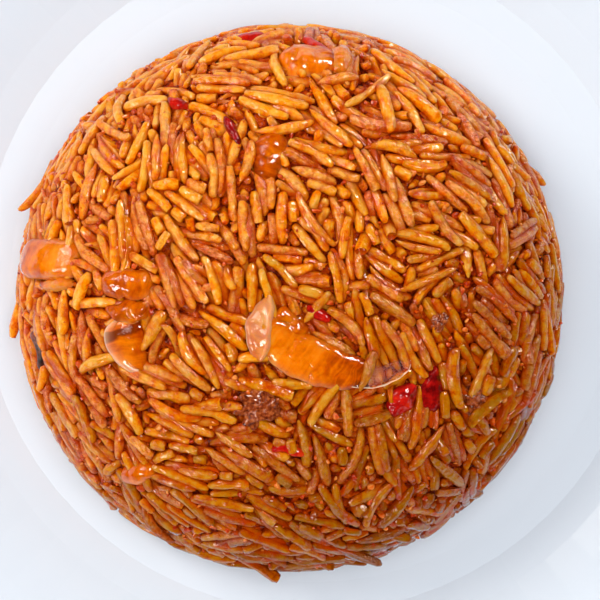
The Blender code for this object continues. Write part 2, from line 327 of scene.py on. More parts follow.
def new_material(name, stored=(), noises=()):
    """Starts a material. Gives it, what adds a node to it, the numbers stored at the piece's points, and
    noises on the piece's own coordinates, each by the size of its lumps in mm, its detail and its
    roughness."""
    material = bpy.data.materials.new(name)
    material.use_nodes = True
    material.node_tree.nodes.clear()
    add = functools.partial(add_node, material.node_tree)
    numbers = [add("Attribute", output="Fac", attribute_name=key) for key in stored]
    place = add("TexCoord", output="Object") if noises else None
    clouds = [
        add("TexNoise", {"Vector": place, "Scale": 1 / (size * MM), "Detail": detail, "Roughness": rough})
        for size, detail, rough in noises
    ]
    return material, add, numbers, clouds


def surface(material, add, colour, relief, relief_mm, own, strength=1.0):
    """Ends a material: its colour, its relief and the relief's height, and what is the same all over it."""
    normal = add("Bump", {"Height": relief, "Strength": strength, "Distance": relief_mm * MM})
    shader = add("BsdfPrincipled", {"Base Color": colour, "Normal": normal, **own})
    add("OutputMaterial", {"Surface": shader})
    return material


def glow(weight, reach, scale_mm):
    """How light spreads inside something moist, as the shader's own values: reach is for red, green and
    blue."""
    return {"Subsurface Weight": weight, "Subsurface Radius": reach, "Subsurface Scale": scale_mm * MM}


def settle(piece, material, slot, *nodes):
    """Gives a finished piece its material and hands it over to the frame."""
    piece.data.materials.clear()
    piece.data.materials.append(material)
    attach(piece, "root")
    if nodes:
        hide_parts(*nodes)
    return piece


def store(mesh, values):
    """Stores a number for each vertex under each name, which the materials read."""
    for name, numbers in values.items():
        attribute = mesh.attributes.new(name, "FLOAT", "POINT")
        attribute.data.foreach_set("value", np.asarray(numbers, np.float32))


def unit(vectors):
    """The same directions, one long."""
    return vectors / np.linalg.norm(vectors, axis=1)[:, None]


def in_scene(points):
    """Places in the heap, in mm, as the scene's places in metres."""
    return points * MM + np.array(MOUND_FOOT)


# ---------------------------------------------------------------- materials


def oily_parboiled_rice():
    """Parboiled rice boiled in tomato sauce and oil: golden and translucent where it is clean, stained
    orange in blotches, and crusted with tomato pulp in places, all under a thin film of oil that breaks
    into glints."""
    material, add, numbers, noises = new_material(
        "oily_parboiled_rice",
        ["tint", "sauce", "depth", "outward_light_and_oil", "side_shade_and_brown_tone", "crevice_sauce_and_shade"],
        [(1.7, 5, 0.66), (1.6, 5, 0.65), (0.9, 3, 0.55), (0.45, 1, 0.6), (1.1, 0, 0.6), (4, 2, 0.6)],
    )
    tint, sauce, depth, outward_light_and_oil, side_shade_and_brown_tone, crevice_sauce_and_shade = numbers
    blotches, crusts, grit, pimples, dimples, oil = noises
    shade = add("Math", [tint, 0.2, blotches], operation="MULTIPLY_ADD")
    # Painted light, in part: each grain's side turned out of the heap is painted paler and more golden, as
    # light through the grain, and its flanks more orange, as oil.
    shade = add("Math", [outward_light_and_oil, 0.13, shade], operation="MULTIPLY_ADD")
    stops = [(0.43, "a82800"), (0.52, "d64a00"), (0.61, "ea7000"), (0.72, "f08e06"), (0.86, "eea434")]
    colour = add("ValToRGB", [shade], stops=stops)
    crust = add("Math", [crusts, sauce], operation="ADD")
    crust = add("MapRange", {"Value": crust, "From Min": 0.9, "From Max": 1.22})
    pulp = add("ValToRGB", [grit], stops=[(0.38, "a01c00"), (0.5, "cc460e"), (0.63, "e08048")])
    crusted = add("Math", [crust, 0.8], operation="MULTIPLY")
    # Painted shade and sauce: where other grains come close, the grain is painted a darker red.
    pooled_sauce_and_shade = add("MapRange", {"Value": crevice_sauce_and_shade, "From Min": 0.2, "From Max": 1.0, "To Max": 0.85})
    # Painted shade and sauce: grains lying deeper under the heap's surface are painted darker red.
    deep = add("MapRange", {"Value": depth, "From Min": 1.2, "From Max": 4.2, "To Max": 0.75})
    # Painted shade: brown mixed over the grains, most on the heap's darker side and a little at random.
    brown, red, deep_sauce_and_shade = linear("5e3600"), linear("b22e00"), linear("8a2600")
    for share, over in ((crusted, pulp), (side_shade_and_brown_tone, brown), (pooled_sauce_and_shade, red), (deep, deep_sauce_and_shade)):
        colour = add("Mix", {0: share, 6: colour, 7: over}, output=2, data_type="RGBA")
    lengthwise = add("Attribute", output="Vector", attribute_name="lengthwise")
    wrinkles = add("TexNoise", {"Vector": lengthwise, "Scale": 1.0, "Detail": 0.5})
    rough = add("Math", [crust, 0.45, 0.2], operation="MULTIPLY_ADD")
    relief = add("Math", [pimples, rough, wrinkles], operation="MULTIPLY_ADD")
    relief = add("Math", [dimples, 0.6, relief], operation="MULTIPLY_ADD")
    gloss = add("MapRange", {"Value": oil, "From Min": 0.35, "From Max": 0.65, "To Min": 0.03, "To Max": 0.1})
    own = {"Roughness": gloss, "IOR": 1.55, **glow(0.15, (1.0, 0.35, 0.05), 0.7)}
    return surface(material, add, colour, relief, 0.46, own)


def cooked_tomato_pulp():
    """Tomato and pepper cooked down to pulp: grainy, red-brown to salmon, and wet."""
    stored, noises = ["tint", "depth"], [(0.8, 3, 0.6)]
    material, add, (tint, depth), (grit,) = new_material("cooked_tomato_pulp", stored, noises)
    shade = add("Math", [tint, 0.4, grit], operation="MULTIPLY_ADD")
    stops = [(0.45, "a02200"), (0.6, "c43e04"), (0.78, "d85c0c"), (0.95, "e68c38")]
    colour = add("ValToRGB", [shade], stops=stops)
    # Painted shade and sauce: crumbs lying deeper in the heap are painted darker red.
    deep = add("MapRange", {"Value": depth, "From Min": 1.2, "From Max": 4.2, "To Max": 0.75})
    colour = add("Mix", {0: deep, 6: colour, 7: linear("7e2000")}, output=2, data_type="RGBA")
    own = {"Roughness": 0.2, "IOR": 1.4, **glow(0.25, (1.0, 0.3, 0.1), 0.8)}
    return surface(material, add, colour, grit, 0.2, own)


def soft_cooked_onion():
    """Onion fried soft and boiled in the sauce: translucent, stained orange, finely ribbed by its veins,
    with a pale highlight painted along its edges and a high gloss."""
    stored = ["tint", "along", "across", "rim", "stain", "pale"]
    noises = [(3.5, 3, 0.6), (0.6, 1, 0.6), (1.8, 0, 0.6)]
    material, add, numbers, (clouds, pores, waves) = new_material("soft_cooked_onion", stored, noises)
    tint, along, across, rim, stain, pale = numbers
    bent = add("Math", [across, 0.15, along], operation="MULTIPLY_ADD")
    narrowed, tinted, dark_edge_line_share, wet = (
        add("Math", [worth, share], operation="MULTIPLY")
        for worth, share in ((across, 0.07), (tint, 0.5), (stain, 0.7), (rim, 0.75))
    )
    veins_at = add("CombineXYZ", {"X": bent, "Y": narrowed})
    veins = add("TexNoise", {"Vector": veins_at, "Scale": 1.6, "Detail": 2.0})
    shade = add("Math", [clouds, 0.5, tinted], operation="MULTIPLY_ADD")
    shade = add("Math", [veins, 0.35, shade], operation="MULTIPLY_ADD")
    stops = [(0.4, "7c2c00"), (0.52, "c04c00"), (0.66, "e87400"), (0.9, "ee9626")]
    colour = add("ValToRGB", [shade], stops=stops)
    # The last mix is a painted highlight along the edges; the one before it a darker red line along one edge.
    for share, over in ((pale, "eeaa84"), (dark_edge_line_share, "a02400"), (wet, "fcd4ac")):
        colour = add("Mix", {0: share, 6: colour, 7: linear(over)}, output=2, data_type="RGBA")
    relief = add("Math", [veins, 0.25, waves], operation="MULTIPLY_ADD")
    relief = add("Math", [pores, 0.35, relief], operation="MULTIPLY_ADD")
    own = {"Roughness": 0.07, "IOR": 1.6, **glow(0.6, (1.0, 0.4, 0.06), 1.6)}
    return surface(material, add, colour, relief, 0.22, own)


def onion_film():
    """The thin skin between an onion's layers: clear, faintly grey, with a pale rim, broken into patches,
    where it curls up: a painted highlight."""
    noises = [(2, 2, 0.6), (1.4, 3, 0.6)]
    material, add, (rim,), (patches, waves) = new_material("onion_film", ["rim"], noises)
    uneven = add("Math", [patches, 0.9, rim], operation="MULTIPLY_ADD")
    # Painted highlight: the skin turns pale and opaque along its curled rim, in patches.
    painted_rim_highlight = add("MapRange", {"Value": uneven, "From Min": 0.75, "From Max": 1.2, "To Max": 0.95})
    normal = add("Bump", {"Height": waves, "Strength": 1.0, "Distance": 0.25 * MM})
    clear, pale = (
        add("BsdfPrincipled", {"Base Color": linear(colour), "Normal": normal, **own})
        for colour, own in (
            ("f4e4d4", {"Roughness": 0.08, "IOR": 1.3, "Transmission Weight": 1.0}),
            ("f0c8a0", {"Roughness": 0.1, "IOR": 1.6}),
        )
    )
    add("OutputMaterial", {"Surface": add("MixShader", [painted_rim_highlight, clear, pale])})
    return material


def red_pepper_skin():
    """Stewed red pepper and tomato skin: deep red, thin, smooth and shiny."""
    noises = [(2, 3, 0.6), (1.6, 0, 0.6), (0.6, 1, 0.6)]
    material, add, (tint,), (clouds, waves, pores) = new_material("red_pepper_skin", ["tint"], noises)
    shade = add("Math", [tint, 0.4], operation="MULTIPLY")
    shade = add("Math", [clouds, 0.9, shade], operation="MULTIPLY_ADD")
    stops = [(0.42, "600404"), (0.6, "a00c08"), (0.75, "c41a0c"), (0.95, "dc4006")]
    colour = add("ValToRGB", [shade], stops=stops)
    relief = add("Math", [pores, 0.3, waves], operation="MULTIPLY_ADD")
    own = {"Roughness": 0.06, "IOR": 1.5, **glow(0.25, (1.0, 0.12, 0.06), 1.2)}
    return surface(material, add, colour, relief, 0.25, own)


def fried_minced_meat():
    """Minced meat fried in crumbs: brown and grainy, with paler fibres and a greasy shine on its grains."""
    noises = [(0.8, 4, 0.7), (2, 1.5, 0.6)]
    material, add, _, (grit, lumps) = new_material("fried_minced_meat", noises=noises)
    colour = add("ValToRGB", [grit], stops=[(0.36, "4a1406"), (0.5, "8a3612"), (0.68, "bc622c")])
    own = {"Roughness": 0.08, "IOR": 1.55, **glow(0.15, (1.0, 0.4, 0.25), 0.8)}
    return surface(material, add, colour, lumps, 0.35, own)


def charred_onion():
    """Onion shreds fried until they char: purple-brown to black, dry but oily."""
    noises = [(1.2, 3, 0.6), (0.8, 3, 0.6)]
    material, add, (tint,), (clouds, crackle) = new_material("charred_onion", ["tint"], noises)
    shade = add("Math", [tint, 0.6, clouds], operation="MULTIPLY_ADD")
    colour = add("ValToRGB", [shade], stops=[(0.45, "160804"), (0.6, "44180c"), (0.8, "7c3420")])
    return surface(material, add, colour, crackle, 0.2, {"Roughness": 0.35, "IOR": 1.4})


def sauce_and_pulp_bed():
    """The sauce that fills the gaps between the grains: oily, red-brown, full of fine pulp, and wet."""
    noises = [(2, 5, 0.65), (1.1, 1, 0.6)]
    material, add, _, (lumps, grit) = new_material("sauce_and_pulp_bed", noises=noises)
    stops = [(0.4, "4a0c00"), (0.5, "882000"), (0.6, "b84000"), (0.74, "d46a18")]
    colour = add("ValToRGB", [lumps], stops=stops)
    return surface(material, add, colour, grit, 0.8, {"Roughness": 0.15, "IOR": 1.15})


def glazed_porcelain():
    """Porcelain under a clear glaze: white, faintly blue, and mirror-smooth but for the glaze's slow
    ripple."""
    material, add, _, (ripple,) = new_material("glazed_porcelain", noises=[(14, 1, 0.5)])
    own = {"Roughness": 0.1, "IOR": 1.45}
    return surface(material, add, linear("dbdee3"), ripple, 0.15, own, strength=0.3)



# ---------------------------------------------------------------- the bowl's surface


def mould_distance(points):
    """How far points are outside the bowl's inner surface, in mm, and the surface's outward normals
    there."""
    rise = np.maximum(points[:, 2], 0.05)
    flat = points[:, :2] - MOUND_LEAN * points[:, 2:3]
    across = np.linalg.norm(flat, axis=1) + 1e-6
    level = (across / MOUND_RADIUS) ** PLAN_POWER + (rise / MOUND_HEIGHT) ** RISE_POWER
    slope_across = PLAN_POWER * (across / MOUND_RADIUS) ** (PLAN_POWER - 1) / MOUND_RADIUS
    slope_rise = RISE_POWER * (rise / MOUND_HEIGHT) ** (RISE_POWER - 1) / MOUND_HEIGHT
    root = MEASURE_ROOT
    steepness = root * level ** (root - 1) * np.hypot(slope_across, slope_rise)
    normals = np.column_stack([flat / across[:, None] * slope_across[:, None], slope_rise])
    normals /= np.linalg.norm(normals, axis=1)[:, None]
    return (level**root - 1) / steepness, normals


def onto_mould(points, heights=0.0, steps=6):
    """Moves points onto the bowl's surface, and then out of it by their heights."""
    points = np.array(points, float)
    for _ in range(steps):
        outside, normals = mould_distance(points)
        points = points - normals * outside[:, None]
    _, normals = mould_distance(points)
    return points + normals * np.reshape(heights, (-1, 1))


def mould_frame(at, heading):
    """A point of the bowl's surface, the heading there, the way across it to the left, and the way out."""
    start = np.array([[at[0], at[1], MOUND_HEIGHT * 0.6]])
    for _ in range(8):
        outside, normals = mould_distance(start)
        start[:, 2] -= np.clip(outside / np.maximum(normals[:, 2], 0.25), -6, 6)
    place = start[0]
    out = mould_distance(start)[1][0]
    angle = math.radians(heading)
    way = np.array([math.cos(angle), math.sin(angle), 0.0])
    way -= out * way.dot(out)
    way /= np.linalg.norm(way)
    return place, way, np.cross(out, way), out


def flow_headings(points):
    """The way the grains run at each point, as unit vectors seen from above, with slow random turns."""
    doubled = np.zeros(len(points), complex)
    for place, degrees in FLOW:
        away = np.sum((points[:, :2] - place) ** 2, axis=1)
        doubled += np.exp(2j * math.radians(degrees)) / (away + 60)
    slow = lumpiness(points, 13)
    turns = slow + 0.5 * lumpiness(points, 6, 9.0)
    heading = np.angle(doubled) / 2 + 1.7 * turns + rng.normal(0, 0.26, len(points))
    return np.column_stack([np.cos(heading), np.sin(heading), np.zeros(len(points))])


# ---------------------------------------------------------------- packing the grains


def strew(count, lowest, shallow, deep):
    """Random points over that height whose depth under the bowl's surface is between shallow and deep."""
    points = np.empty((0, 3))
    low = [-MOUND_RADIUS, -MOUND_RADIUS, lowest]
    high = [MOUND_RADIUS, MOUND_RADIUS, MOUND_HEIGHT]
    while len(points) < count:
        batch = rng.uniform(low, high, (BATCH, 3))
        outside, _ = mould_distance(batch)
        points = np.vstack([points, batch[(outside < -shallow) & (outside > -deep)]])
    return points[:count]


def scatter_grains(count):
    """Places, directions, lengths and radii of grains strewn through the heap's outer few millimetres."""
    places = strew(count, 0.5, GRAIN_RADIUS, SHELL_DEPTH)
    _, normals = mould_distance(places)
    ways = flow_headings(places)
    ways -= normals * np.sum(ways * normals, axis=1)[:, None]
    ways += rng.normal(0, 0.24, ways.shape)
    ways = unit(ways)
    lengths = np.clip(rng.normal(GRAIN_LENGTH, LENGTH_SPREAD, count), *LENGTH_LIMITS)
    broken = rng.random(count) < BROKEN_SHARE
    lengths[broken] = rng.uniform(*BROKEN_LENGTHS, broken.sum())
    radii = np.clip(rng.normal(GRAIN_RADIUS, RADIUS_SPREAD, count), *RADIUS_LIMITS)
    return places, ways, lengths, radii


def near_pairs(places, reach):
    """Index pairs of grains whose middles are closer than reach."""
    firsts, seconds = [], []
    for start in range(0, len(places), 400):
        block = places[start : start + 400]
        gaps = np.sum((block[:, None, :] - places[None, :, :]) ** 2, axis=2)
        i, j = np.nonzero(gaps < reach * reach)
        keep = i + start < j
        firsts.append(i[keep] + start)
        seconds.append(j[keep])
    return np.concatenate(firsts), np.concatenate(seconds)


def closest_along(first_place, first_way, first_half, second_place, second_way, second_half):
    """Where two straight grains come closest, as distances from each one's middle."""
    between = first_place - second_place
    cross = np.sum(first_way * second_way, axis=1)
    d = np.sum(first_way * between, axis=1)
    e = np.sum(second_way * between, axis=1)
    s = (cross * e - d) / np.maximum(1 - cross * cross, 1e-4)
    s = np.clip(s, -first_half, first_half)
    t = np.clip(cross * s + e, -second_half, second_half)
    s = np.clip(cross * t - d, -first_half, first_half)
    return s, t


def beside(row, along, across):
    """A place given in mm forwards from a slice's middle and to its left."""
    heading = math.radians(row["heading"])
    forwards = np.array([math.cos(heading), math.sin(heading)])
    leftwards = np.array([-forwards[1], forwards[0]])
    return np.array(row["at"]) + np.multiply.outer(along, forwards) + np.multiply.outer(across, leftwards)


def outline(row, shares):
    """A slice's left and right edges at shares of the way along it, in mm from the mound's middle."""
    length, width = row["size"]
    blunt = row.get("blunt", 2)
    forwards = np.sin(math.pi / 2 * (2 * np.asarray(shares) - 1))
    fullness = np.maximum((1 - np.abs(forwards) ** blunt) ** (1 / blunt), 0.12)
    half = width / 2 * fullness * (1 + row.get("taper", 0) * forwards)
    middle = row.get("bend", 0) * (forwards**2 - 0.4)
    along = forwards * length / 2
    return beside(row, along, middle + half), beside(row, along, middle - half)


def covered(points, rim=0.0):
    """Which points lie under a slice, skin or film, seen square to the bowl's surface, less a rim in mm."""
    hit = np.zeros(len(points), bool)
    for row in [*SLICES.values(), *SKINS.values()]:
        first, second = outline(row, np.linspace(0, 1, 12))
        ring = np.vstack([first, second[::-1]])
        middle = ring.mean(axis=0)
        away = ring - middle
        ring = middle + away * (1 - rim / np.maximum(np.linalg.norm(away, axis=1), rim + 0.3))[:, None]
        reach = np.linalg.norm(away, axis=1).max()
        near = np.flatnonzero(np.linalg.norm(points[:, :2] - middle, axis=1) < reach)
        inside = np.zeros(len(near), bool)
        x, y = points[near, 0], points[near, 1]
        for (ax, ay), (bx, by) in zip(ring, np.roll(ring, -1, axis=0)):
            crosses = (ay > y) != (by > y)
            inside ^= crosses & (x < ax + (bx - ax) * (y - ay) / (by - ay if by != ay else 1e-9))
        hit[near[inside]] = True
    for at, _, half_sizes in MEAT.values():
        reach = MEAT_ROOM * (half_sizes[0] + half_sizes[1]) / 2 - rim
        hit |= np.linalg.norm(points[:, :2] - at, axis=1) < reach
    return hit


def sink_under_slices(points, radii):
    """How far points have to sink to leave room for the slices."""
    outside, normals = mould_distance(points)
    down = np.where(covered(points, 0.5), np.maximum(outside + SLICE_ROOM + radii, 0), 0)
    return -normals * down[:, None]


def relax(places, ways, lengths, radii, steps, laid):
    """Presses the grains outwards against the bowl until they no longer lie through one another. The first
    laid grains stay where they are."""
    fixed_places, fixed_ways = places[:laid].copy(), ways[:laid].copy()
    ease_out = 0.8 * lumpiness(places, 9.0) + rng.uniform(-0.8, 0.8, len(places))
    halves = lengths / 2 - TIP_SHARE * radii
    spins = halves * halves / 3 + 0.5
    count = len(places)
    for step in range(steps):
        if step % SEARCH_EVERY == 0:
            i, j = near_pairs(places, SEARCH_REACH)
        s, t = closest_along(places[i], ways[i], halves[i], places[j], ways[j], halves[j])
        apart = places[i] + ways[i] * s[:, None] - places[j] - ways[j] * t[:, None]
        distance = np.linalg.norm(apart, axis=1) + 1e-6
        overlap = PRESSED * (radii[i] + radii[j]) - distance
        hit = overlap > 0
        a, b = i[hit], j[hit]
        way_out = apart[hit] / distance[hit][:, None]
        push = overlap[hit] / (2 + s[hit] ** 2 / spins[a] + t[hit] ** 2 / spins[b])
        moves = np.zeros((count, 3))
        turns = np.zeros((count, 3))
        shares = np.zeros(count)
        for grain, sign, lever in ((a, 1, s[hit]), (b, -1, t[hit])):
            step_vector = sign * way_out * push[:, None]
            turn_vector = step_vector * (lever / spins[grain])[:, None]
            for axis in range(3):
                moves[:, axis] += np.bincount(grain, step_vector[:, axis], count)
                turns[:, axis] += np.bincount(grain, turn_vector[:, axis], count)
            shares += np.bincount(grain, minlength=count)
        ease = 1.5 / np.sqrt(np.maximum(shares, 1))
        places = places + moves * ease[:, None]
        ways = unit(ways + turns * ease[:, None])
        for sign in (-1, 0, 1):
            ends = places + ways * (sign * halves)[:, None]
            outside, normals = mould_distance(ends)
            fit = np.maximum(outside + radii * 0.9 - ease_out, 0)
            sunk = np.maximum(radii - ends[:, 2], 0)
            shift = -normals * fit[:, None]
            shift[:, 2] += sunk
            shift += sink_under_slices(ends, radii)
            places = places + 0.5 * shift
            ways = unit(ways + (0.5 * sign * halves / spins)[:, None] * shift)
        outside, normals = mould_distance(places)
        places = places + normals * np.where(outside < -SHELL_DEPTH, 0.1, 0.02)[:, None]
        places[:laid], ways[:laid] = fixed_places, fixed_ways
    return places, ways


def lift_strays(places, ways, laid):
    """Turns a few grains of the heap's sides outwards, as lifting the bowl off leaves them."""
    outside, normals = mould_distance(places)
    loose = np.flatnonzero((normals[:, 2] < 0.55) & (outside > -2.2) & (places[:, 2] > 3))
    loose = rng.choice(loose[loose >= laid], STRAY_COUNT, replace=False)
    ways[loose] += normals[loose] * rng.uniform(*STRAY_TURNS, (STRAY_COUNT, 1))
    ways[loose] = unit(ways[loose])
    places[loose] += normals[loose] * rng.uniform(*STRAY_SHIFTS, (STRAY_COUNT, 1))
    return loose


# ---------------------------------------------------------------- grain meshes

# Rings from one tip to the other: (place along the grain, width), for a grain from -1 to 1 and 1 in radius.
GRAIN_SHAPES = {
    "slim_grains": dict(
        rings=[
            (-0.97, 0.52), (-0.86, 0.79), (-0.58, 0.94), (-0.2, 1.02), (0.2, 1), (0.58, 0.9), (0.86, 0.74),
            (0.97, 0.47),
        ],
        square=0.96,
    ),
    "full_grains": dict(
        rings=[
            (-0.97, 0.62), (-0.87, 0.88), (-0.56, 1.06), (-0.2, 1.14), (0.2, 1.12), (0.56, 1.0),
            (0.86, 0.83), (0.97, 0.56),
        ],
        flat=0.86, square=0.93,
    ),
    "tapered_grains": dict(
        rings=[
            (-0.96, 0.22), (-0.8, 0.48), (-0.52, 0.8), (-0.2, 1), (0.2, 1.1), (0.55, 1.04), (0.86, 0.76),
            (0.97, 0.46),
        ],
        square=0.95,
    ),
    "kinked_grains": dict(
        rings=[
            (-0.97, 0.52), (-0.85, 0.79), (-0.5, 1), (-0.12, 0.9), (0.14, 0.88), (0.5, 1.02), (0.85, 0.78),
            (0.97, 0.5),
        ],
        kink=0.7, square=0.95,
    ),
    "furrowed_grains": dict(
        rings=[
            (-0.97, 0.54), (-0.86, 0.8), (-0.55, 1), (-0.2, 1.08), (0.2, 1.08), (0.55, 0.98), (0.86, 0.76),
            (0.97, 0.5),
        ],
        furrow=0.4, square=0.94,
    ),
    "burst_grains": dict(
        rings=[
            (-0.96, 0.34), (-0.84, 0.68), (-0.55, 0.92), (-0.2, 1), (0.2, 1.04), (0.55, 1.14), (0.84, 1.2),
            (1.0, 0.9),
        ],
        burst=0.5, square=0.94,
    ),
    "broken_grains": dict(
        rings=[
            (-0.95, 0.56), (-0.8, 0.86), (-0.45, 1), (-0.1, 1.05), (0.25, 1.03), (0.6, 1.0), (0.92, 0.9),
            (0.99, 0.66),
        ],
        flat=0.88, burst=0.12, square=0.9,
    ),
}


def select_where(grain, test):
    """Selects, in edit mode, the vertices that pass a test."""
    shape = bmesh.from_edit_mesh(grain.data)
    for vert in shape.verts:
        vert.select_set(test(vert.co))
    shape.select_flush_mode()
    bmesh.update_edit_mesh(grain.data)


def model_grain(name, rings, flat=0.92, square=0.9, kink=0.0, furrow=0.0, burst=0.0):
    """One grain along X: a sphere whose rings are slid and resized, then bent, furrowed or burst at one
    end."""
    deselect()
    turned = (0, math.pi / 2, 0)
    bpy.ops.mesh.primitive_uv_sphere_add(segments=8, ring_count=len(rings) + 1, radius=1, rotation=turned)
    grain = bpy.context.object
    grain.name = name
    bpy.ops.object.transform_apply(location=True, rotation=True, scale=True)
    bpy.ops.object.mode_set(mode="EDIT")
    stations = [-math.cos(math.pi * (k + 1) / (len(rings) + 1)) for k in range(len(rings))]
    for station, (place, width) in zip(stations, rings):
        select_where(grain, lambda co: abs(co.x - station) < 1e-3 and co.yz.length > 0.05)
        grow = width / math.sqrt(1 - station * station)
        bpy.ops.transform.resize(value=(1, grow, grow * flat), center_override=(station, 0, 0))
        bend = kink * max(0.0, 1 - abs(place) / 0.7)
        bpy.ops.transform.translate(value=(10 + place - station, bend, 0))
    select_where(grain, lambda co: co.x > 5 and abs(co.y * co.z) < 0.02)
    bpy.ops.transform.resize(value=(1, square, square), center_override=(0, 0, 0))
    select_where(grain, lambda co: co.x > 5)
    bpy.ops.transform.translate(value=(-10, 0, 0))
    if furrow:
        select_where(grain, lambda co: co.z > 0.6 * flat * 0.9 and abs(co.y) < 0.1)
        bpy.ops.transform.translate(value=(0, 0, -furrow))
    if burst:
        select_where(grain, lambda co: co.x > 0.995 and co.yz.length < 0.05)
        bpy.ops.transform.translate(value=(-burst, 0, 0))
    bpy.ops.object.mode_set(mode="OBJECT")
    return grain


def turned_frames(ways, rolls):
    """Two directions across each grain, turned about it by its roll."""
    helper = np.where(np.abs(ways[:, 2:3]) < 0.8, [[0.0, 0, 1]], [[1.0, 0, 0]])
    side = unit(np.cross(helper, ways))
    up = np.cross(ways, side)
    across = side * np.cos(rolls)[:, None] + up * np.sin(rolls)[:, None]
    return across, np.cross(ways, across)


def lumpiness(points, size, shift=0.0):
    """Smooth noise from -1 to 1 at each point, with lumps of about that size in mm."""
    away = Vector((shift, shift, shift))
    return np.array([noise.noise(Vector(point) / size + away) for point in points])


def copy_shape(
    name, shape, places, ways, sizes, bends, rolls, values, roughness, proud, grains=None, numbers=None
):
    """Copies a shape to each place as one mesh, each copy with its own size, bend, turn about itself and
    lumps. What stands more than proud mm out of the bowl's surface is pressed flat, as the bowl pressed
    it."""
    base = np.array([vert.co[:] for vert in shape.data.vertices])
    faces = [list(polygon.vertices) for polygon in shape.data.polygons]
    count, corners = len(places), len(base)
    across, up = turned_frames(ways, rolls)
    x = base[None, :, 0] * sizes[:, 0:1]
    y = base[None, :, 1] * sizes[:, 1:2]
    z = base[None, :, 2] * sizes[:, 2:3]
    outward = y[..., None] * across[:, None, :] + z[..., None] * up[:, None, :]
    spine = places[:, None, :] + x[..., None] * ways[:, None, :]
    spine = spine + (bends[:, None] * (base[None, :, 0] ** 2 - 0.35))[..., None] * across[:, None, :]
    points = (spine + outward).reshape(-1, 3)
    outward = outward.reshape(-1, 3)
    outward /= np.maximum(np.linalg.norm(outward, axis=1), 1e-6)[:, None]
    lumps = lumpiness(points, 1.5, 3.0) + 0.6 * lumpiness(points, 0.8, 8.0)
    points = points + outward * (roughness * lumps)[:, None]
    outside, normals = mould_distance(points)
    over = np.maximum(outside - np.repeat(proud, corners) - 0.3 * normals[:, 2], 0)
    points = points - normals * (0.4 * over)[:, None]
    all_faces = [[corner + k * corners for corner in face] for k in range(count) for face in faces]
    mesh = bpy.data.meshes.new(name)
    mesh.from_pydata(in_scene(points).tolist(), [], all_faces)
    mesh.shade_smooth()
    mesh.set_sharp_from_angle(angle=math.radians(CREASE_ANGLE))
    values = {key: np.repeat(worth, corners) for key, worth in values.items()}
    # Depth under the bowl's surface, which the materials paint as shade and sauce.
    values["depth"] = np.clip(-outside, 0, 8)
    # How far each point faces out of the heap, which the rice paints as light through the grain.
    values["outward_light_and_oil"] = np.sum(outward * normals, axis=1)
    # How close other grains come, which the rice paints as shade and gathered sauce.
    if grains:
        touching = np.maximum(clearance(points, grains, np.repeat(numbers, corners)), 0)
        values["crevice_sauce_and_shade"] = np.exp(-touching / 0.45)
    store(mesh, values)
    own = np.stack([x / WRINKLE_STRETCH + 9.0 * np.arange(count)[:, None], y, z], axis=2)
    attribute = mesh.attributes.new("lengthwise", "FLOAT_VECTOR", "POINT")
    attribute.data.foreach_set("vector", own.ravel().astype(np.float32))
    piece = bpy.data.objects.new(name, mesh)
    bpy.context.scene.collection.objects.link(piece)
    return piece


def clearance(points, grains, owners=None):
    """How far points are from the nearest grain's skin, in mm, found cell by cell. A point that is part of
    a grain names it as its owner, and that grain doesn't count."""
    places, ways, lengths, radii = grains
    halves = lengths / 2 - TIP_SHARE * radii
    nearest = np.full(len(points), 99.0)
    cells, members = np.unique(np.floor(points / CELL).astype(int), axis=0, return_inverse=True)
    order = np.argsort(members.ravel(), kind="stable")
    starts = np.searchsorted(members.ravel()[order], np.arange(len(cells) + 1))
    for number, cell in enumerate(cells):
        mine = order[starts[number] : starts[number + 1]]
        close = np.linalg.norm(places - (cell + 0.5) * CELL, axis=1) < CELL * 0.87 + 8
        if not close.any():
            continue
        away = points[mine, None, :] - places[None, close, :]
        along = np.clip(np.sum(away * ways[None, close, :], axis=2), -halves[close], halves[close])
        gaps = np.linalg.norm(away - along[..., None] * ways[None, close, :], axis=2) - radii[close]
        if owners is not None:
            gaps[owners[mine][:, None] == np.flatnonzero(close)[None, :]] = 99.0
        nearest[mine] = gaps.min(axis=1)
    return nearest


